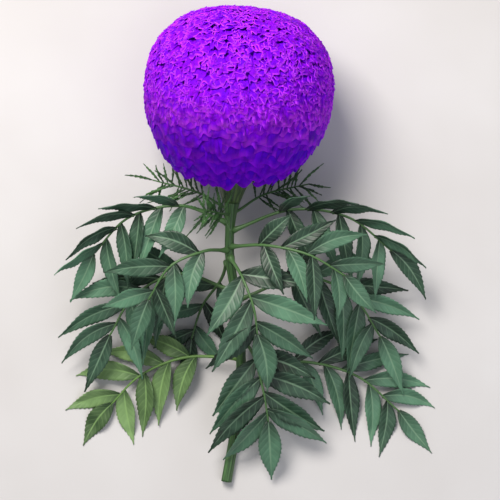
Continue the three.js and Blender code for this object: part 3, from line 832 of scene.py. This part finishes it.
def leaf_tissue(name, deep, light, vein, rib):
    """A veined blade with its midrib, from the colours of its dark and light parts, veins and midrib."""
    material, tree = new_finish(name)
    along, off_midrib, own, on_rib = read_marks(tree)
    side_vein, midrib, swell = leaflet_veins(tree, along, off_midrib)
    place = add_node(tree, "ShaderNodeTexCoord").outputs["Object"]
    mottle = add_node(tree, "ShaderNodeTexNoise", {"Vector": place, "Scale": MOTTLES, "Detail": 3.0})
    mottle = add_node(tree, "ShaderNodeMapRange", {"Value": mottle, "From Min": 0.35, "From Max": 0.65},
                      interpolation_type="SMOOTHSTEP")
    speckle = add_node(tree, "ShaderNodeMath", {0: mottle, 1: MOTTLE_SHARE}, operation="MULTIPLY")
    # Random tone and painted light of the leaflet, from its own number.
    tone_and_light = add_node(tree, "ShaderNodeMath", {0: own, 1: 1.5}, operation="POWER")
    tone = add_node(tree, "ShaderNodeMath", {0: tone_and_light, 1: speckle}, operation="ADD")
    blade = add_node(tree, "ShaderNodeMix", {0: tone, 6: colour(deep), 7: colour(light)}, data_type="RGBA")
    # Painted shade: each leaflet is darkened towards its root, where its neighbours shade it.
    root_painted_shade = add_node(tree, "ShaderNodeMapRange", {"Value": along, "From Min": 0.5, "From Max": -0.1},
                         interpolation_type="SMOOTHSTEP")
    blade = add_node(tree, "ShaderNodeMix", {0: root_painted_shade, 6: blade, 7: colour(deep)}, data_type="RGBA")
    for line, share in ((side_vein, SIDE_VEIN_SHARE), (midrib, MIDRIB_SHARE)):
        drawn = add_node(tree, "ShaderNodeMath", {0: line, 1: share}, operation="MULTIPLY")
        blade = add_node(tree, "ShaderNodeMix", {0: drawn, 6: blade, 7: colour(vein)}, data_type="RGBA")
    blade = add_node(tree, "ShaderNodeMix", {0: on_rib, 6: blade, 7: colour(rib)}, data_type="RGBA")
    height = add_node(tree, "ShaderNodeMath", {0: swell, 1: on_rib}, operation="MAXIMUM")
    relief = add_node(tree, "ShaderNodeBump",
                      {"Height": height, "Distance": SWELL_DEPTH * MM, "Strength": 0.8})
    set_surface(tree, {
        "Base Color": blade,
        "Roughness": 0.43,
        "Specular IOR Level": 0.36,
        "Normal": relief,
    })
    return material


blue_green_leaf = leaf_tissue("blue_green_leaf", "05140a", "547c62", "78967a", "446439")
yellow_green_leaf = leaf_tissue("yellow_green_leaf", "183216", "7a9a62", "86a868", "587a3c")
young_leaf = leaf_tissue("young_dark_leaf", "183218", "3d6633", "4d7042", "3d5f33")
print("leaf finishes:", blue_green_leaf.name, yellow_green_leaf.name, young_leaf.name)

# %% [markdown]
# ## Leaflets
# A marigold leaf is feather-shaped: toothed leaflets stand in pairs along a midrib, with one more at its
# end. Each leaflet is a grid whose width follows a lance shape with a long point. The outer points of
# every second row are drawn in, which leaves forward-pointing teeth. The blade folds a little along its
# midrib, curves and droops towards its tip, and stays above the surface. Its own number, which the finish
# takes as its tone, is part luck, and part painted light: it grows with its height and with its distance
# from the stem.
# %% Leaflets
LEAFLET_DROOP = 0.16
LEAFLET_FOLD = 0.31
TOOTH_LEAN = 0.6
LEAST_BELLY = 0.05
TO_CUT_END = Vector((0, -1, 0))
HIGH_LEAF = 50
WIDE_LEAF = 80
PALE_BY_LUCK = 0.8
LIT_BY_HEIGHT = 0.2
LIT_BY_SIDE = 0.35
PALE_FROM = 0.15
luck = random.Random(5)


def own_tone_and_light(root):
    """A leaflet's own number from 0 to 1, from luck and from painted light that grows with where its root is.
    """
    tone_and_light = PALE_BY_LUCK * luck.random() - PALE_FROM
    # Painted light: leaflets higher up and farther from the stem are made paler.
    tone_and_light += LIT_BY_HEIGHT * root.z / HIGH_LEAF
    tone_and_light += LIT_BY_SIDE * abs(root.x) / WIDE_LEAF
    return min(1, max(0, tone_and_light))


def add_leaflet(shape, root, out, side, normal, length, width, sickle=0, rows=28, columns=8, tooth=0.08):
    """One toothed blade that grows out from its root. Sickle is how far it arches towards the crown."""
    own = own_tone_and_light(root)
    ripple = luck.uniform(0.2, 0.5)
    bend = luck.uniform(-0.06, 0.06) * length
    roll = luck.uniform(-0.3, 0.3)
    droop = luck.uniform(0.9, 1.35) * LEAFLET_DROOP * length
    length *= luck.uniform(0.92, 1.06)

    def place_at(across, along):
        is_tooth = round(along * rows) % 2
        edge = abs(across) ** 4
        ahead = along + (TOOTH_LEAN * edge * is_tooth / rows if along < 1 else 0)
        belly = math.sin(math.pi * between(0.05, 1, along) ** 0.85)
        belly = belly ** between(1, 1.35, along)
        half_width = width / 2 * max(LEAST_BELLY, belly) * (1 - tooth * edge * (1 - is_tooth))
        lift = LEAFLET_FOLD * abs(across) * half_width + roll * across * half_width * along
        lift += ripple * math.sin(14 * along + 6 * own) * across**2
        off = across * half_width + bend * math.sin(math.pi * along)
        point = root + out * ahead * length + side * off + normal * lift
        point -= TO_CUT_END * sickle * length * ahead * (1 - ahead)
        point.z = max(point.z - droop * along**2, LEAST_HEIGHT)
        return point, (along, abs(across), own, 0)

    add_sheet(shape, columns, rows, place_at)


print("a leaflet droops by about this share of its length:", LEAFLET_DROOP)

# %% [markdown]
# ## Places of the leaflets
# The pairs stand at even shares of the midrib, a little staggered. Each leaflet leaves the midrib at a
# wide angle and is turned a little on its own length, so that neighbours lap over each other like roof
# tiles. The middle pairs are the longest.
# %% Places of the leaflets
LEAFLET_SPREAD = math.radians(56)
LEAFLET_TWIST = math.radians(18)
PAIR_STAGGER = 0.02
FIRST_PAIR = 0.3
LAST_PAIR = 0.88
SHORT_LEAFLET = 0.85
END_LEAFLET = (0.99, 0, SHORT_LEAFLET)


def turned(way, axis, angle):
    """A way turned round an axis."""
    return Quaternion(axis, angle) @ way


def leaflet_places(run, pairs, length, rise, hang):
    """For each leaflet, its root, the way it grows, the way across it, its upper side and its length."""
    places = [END_LEAFLET]
    for pair in range(pairs):
        share = between(FIRST_PAIR, LAST_PAIR, pair / (pairs - 1))
        size = between(SHORT_LEAFLET, 1, math.sin(math.pi * pair / (pairs - 1)))
        places += [(share - PAIR_STAGGER, -1, size), (share + PAIR_STAGGER, 1, size)]
    for share, hand, size in places:
        root, way = run.at(share)
        flat = way.cross(UP).normalized().cross(way)
        flat = turned(flat, way, -hand * math.radians(rise[0] if hand < 0 else rise[1]))
        out = (turned(way, flat, -hand * LEAFLET_SPREAD) + hang * TO_CUT_END).normalized()
        out = turned(out, flat, math.radians(luck.uniform(-5, 5)))
        side = turned(flat.cross(out).normalized(), out, -hand * LEAFLET_TWIST)
        yield root, out, side, out.cross(side), length * size


print("leaflets in a leaf of 4 pairs:", 2 * 4 + 1)

# %% [markdown]
# ## Plan of the leaves
# Eleven leaves grow from the stem, and each follows its own run, which starts on the stem's skin. The
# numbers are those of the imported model: how far down the stem it grows, the points that its midrib
# passes, how many pairs of leaflets it has, their length and width, how far the leaflets on its left and
# on its right turn up, in degrees, and how much they turn towards the stem's cut end.
# %% Plan of the leaves
LEAVES = {
    "leaf_left_upper": (-66, [(-30, -58, 40), (-58, -64, 38), (-78, -84, 31)], 5, 38, 9.5, (6, 40), 0.55),
    "leaf_right_upper": (-70, [(28, -60, 39), (58, -64, 38), (82, -82, 29)], 5, 38, 9.5, (40, 6), 0.55),
    "leaf_front_upper": (-86, [(2, -96, 42), (8, -112, 46), (10, -126, 43)], 3, 42, 13, (0, 0), 0.15),
    "leaf_right_high": (-79, [(15, -79, 48.5), (37, -84, 55), (56, -95, 53)], 4, 33, 10, (0, 0), 0.35),
    "leaf_left_high": (-81, [(-18, -82, 41), (-36, -90, 44), (-48, -108, 39)], 3, 35, 11, (0, 0), 0.35),
    "leaf_back": (-90, [(-10, -98, 15), (-20, -112, 8), (-26, -130, 5)], 3, 30, 9.5, (0, 0), 0.1),
    "leaf_left_middle": (-102, [(-32, -94, 25), (-56, -106, 23), (-70, -128, 18)], 5, 42, 10.5, (0, 5), 0.55),
    "leaf_right_middle": (-108, [(34, -96, 23), (60, -105, 21), (77, -129, 16)], 5, 42, 10.5, (0, 0), 0.55),
    "leaf_front_lower": (-128, [(8, -138, 27), (13, -156, 27), (16, -174, 21)], 4, 44, 13, (0, 0), 0.15),
    "leaf_left_lower": (
        -140, [(-30, -140, 9), (-54, -150, 6.5), (-70, -166, 3.5)], 4, 36, 11.5, (0, 0), 0.45),
    "leaf_right_lower": (-146, [(32, -142, 9), (64, -150, 6.5), (88, -170, 3.5)], 5, 38, 10, (0, 0), 0.45),
}
print("leaves:", len(LEAVES))

# %% [markdown]
# ## Midribs
# A real midrib grows out of the stem. Here it starts beside the stem, on the side that the leaf grows
# towards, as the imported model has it, and its root is then carried on into the stem, so that no gap
# shows. The place on the stem is found by halving, which needs no formula for the curve.
# %% Midribs
RIB_RADIUS = 1.15
RIB_ROOT_SHARE = 0.85
RIB_TIP_RADIUS = 0.5
RIB_ROOT_SWELL = 0.7
ROOT_IN_STEM = 1.8
HALVINGS = 30


def rib_run(grows, way, rib_radius):
    """A midrib's run, for a leaf that grows at this place down the stem."""
    low, high = 0, 1
    for halving in range(HALVINGS):
        middle_share = (low + high) / 2
        low, high = (middle_share, high) if STEM_RUN.at(middle_share)[0].y > grows else (low, middle_share)
    middle, down_stem = STEM_RUN.at(low)
    start = Vector(way[0]) - middle
    slant = abs(start.normalized().dot(down_stem))
    start = (start - down_stem * start.dot(down_stem)).normalized()
    reach = stem_radius(low) + FIT_GAP + rib_radius * slant
    return Run([middle + start * reach, *map(Vector, way)])


def rib_girth(share, turn):
    """A leaf midrib's radius. It is thin at its tip, and its first twelfth swells towards the stem."""
    swell = RIB_ROOT_SWELL * max(0, 1 - 12 * share) ** 2
    return between(RIB_ROOT_SHARE * RIB_RADIUS, RIB_TIP_RADIUS, share) + swell


def add_midrib(name, run, girth, sides, steps, finish, slot):
    """A leaf's midrib as a piece."""
    shape = new_shape()
    add_tube(shape, run, girth, sides, steps, start=-ROOT_IN_STEM / run.lengths[-1], pale=1.0)
    as_piece(name + "_midrib", shape, finish, slot, name)


print("a midrib's root goes into the stem by, mm:", ROOT_IN_STEM)

# %% [markdown]
# ## Leaves
# Each leaf is two pieces, its midrib and its blades, because the blades are thin films that get their
# thickness afterwards. The lowest leaf on the left is older and yellower. Blades arch like sickles, the
# more so the more they hang.
# %% Leaves
LEAFLET_FILM = 0.4
SICKLE = 0.5
OLD_LEAF = "leaf_left_lower"


def add_leaf(name, grows, way, pairs, length, width, rise, hang):
    """A whole leaf from its plan."""
    finish, slot = (yellow_green_leaf, "pale_leaf") if name == OLD_LEAF else (blue_green_leaf, "leaves")
    run = rib_run(grows, way, RIB_RADIUS)
    add_midrib(name, run, rib_girth, 10, 40, finish, slot)
    blades = new_shape()
    for root, out, side, normal, leaflet_length in leaflet_places(run, pairs, length, rise, hang):
        add_leaflet(blades, root, out, side, normal, leaflet_length, width, SICKLE * hang)
    as_piece(name + "_leaflets", blades, finish, slot, name, LEAFLET_FILM)


for name, plan in LEAVES.items():
    add_leaf(name, *plan)

# %% [markdown]
# ## Feathery young leaves
# Close under the bloom grow small leaves whose leaflets are hardly more than threads. Evenly set threads
# would look like a comb, so each thread has its own turn, length and bend.
# %% Feathery young leaves
FEATHER_LEAVES = {
    "feather_leaf_left": (-59, [(-21, -51, 30), (-46, -44, 29)]),
    "feather_leaf_right": (-60.5, [(13, -52, 29), (38, -46, 28)]),
    "feather_leaf_front": (-62, [(-10, -62, 50), (-20, -60, 60)]),
}
FEATHER_RIB_RADIUS = 0.8
FEATHER_PAIRS = 12
FEATHER_LENGTH = 19
FEATHER_WIDTH = 1.6
FEATHER_RISE = (10, 10)
FEATHER_ROOT_GIRTH = 0.75
FEATHER_TIP_GIRTH = 0.35


def feather_girth(share, turn):
    """A small leaf's midrib is even thinner than a large one's."""
    return between(FEATHER_ROOT_GIRTH, FEATHER_TIP_GIRTH, share)


def add_thread(shape, root, out, side, normal, length):
    """A thread-like leaflet that leaves the midrib at its own angle."""
    out = turned(out, normal, math.radians(luck.uniform(-24, 24)))
    out = turned(out, side, math.radians(luck.uniform(-28, 28)))
    reach = length * luck.uniform(0.55, 1.15)
    side = normal.cross(out).normalized()
    add_leaflet(shape, root, out, side, normal, reach, FEATHER_WIDTH, rows=12, columns=4, tooth=0.5)


for name, (grows, way) in FEATHER_LEAVES.items():
    run = rib_run(grows, way, FEATHER_RIB_RADIUS)
    add_midrib(name, run, feather_girth, 8, 24, young_leaf, "young_leaves")
    threads = new_shape()
    for place in leaflet_places(run, FEATHER_PAIRS, FEATHER_LENGTH, FEATHER_RISE, hang=0):
        add_thread(threads, *place)
    as_piece(name + "_threads", threads, young_leaf, "young_leaves", name, LEAFLET_FILM)
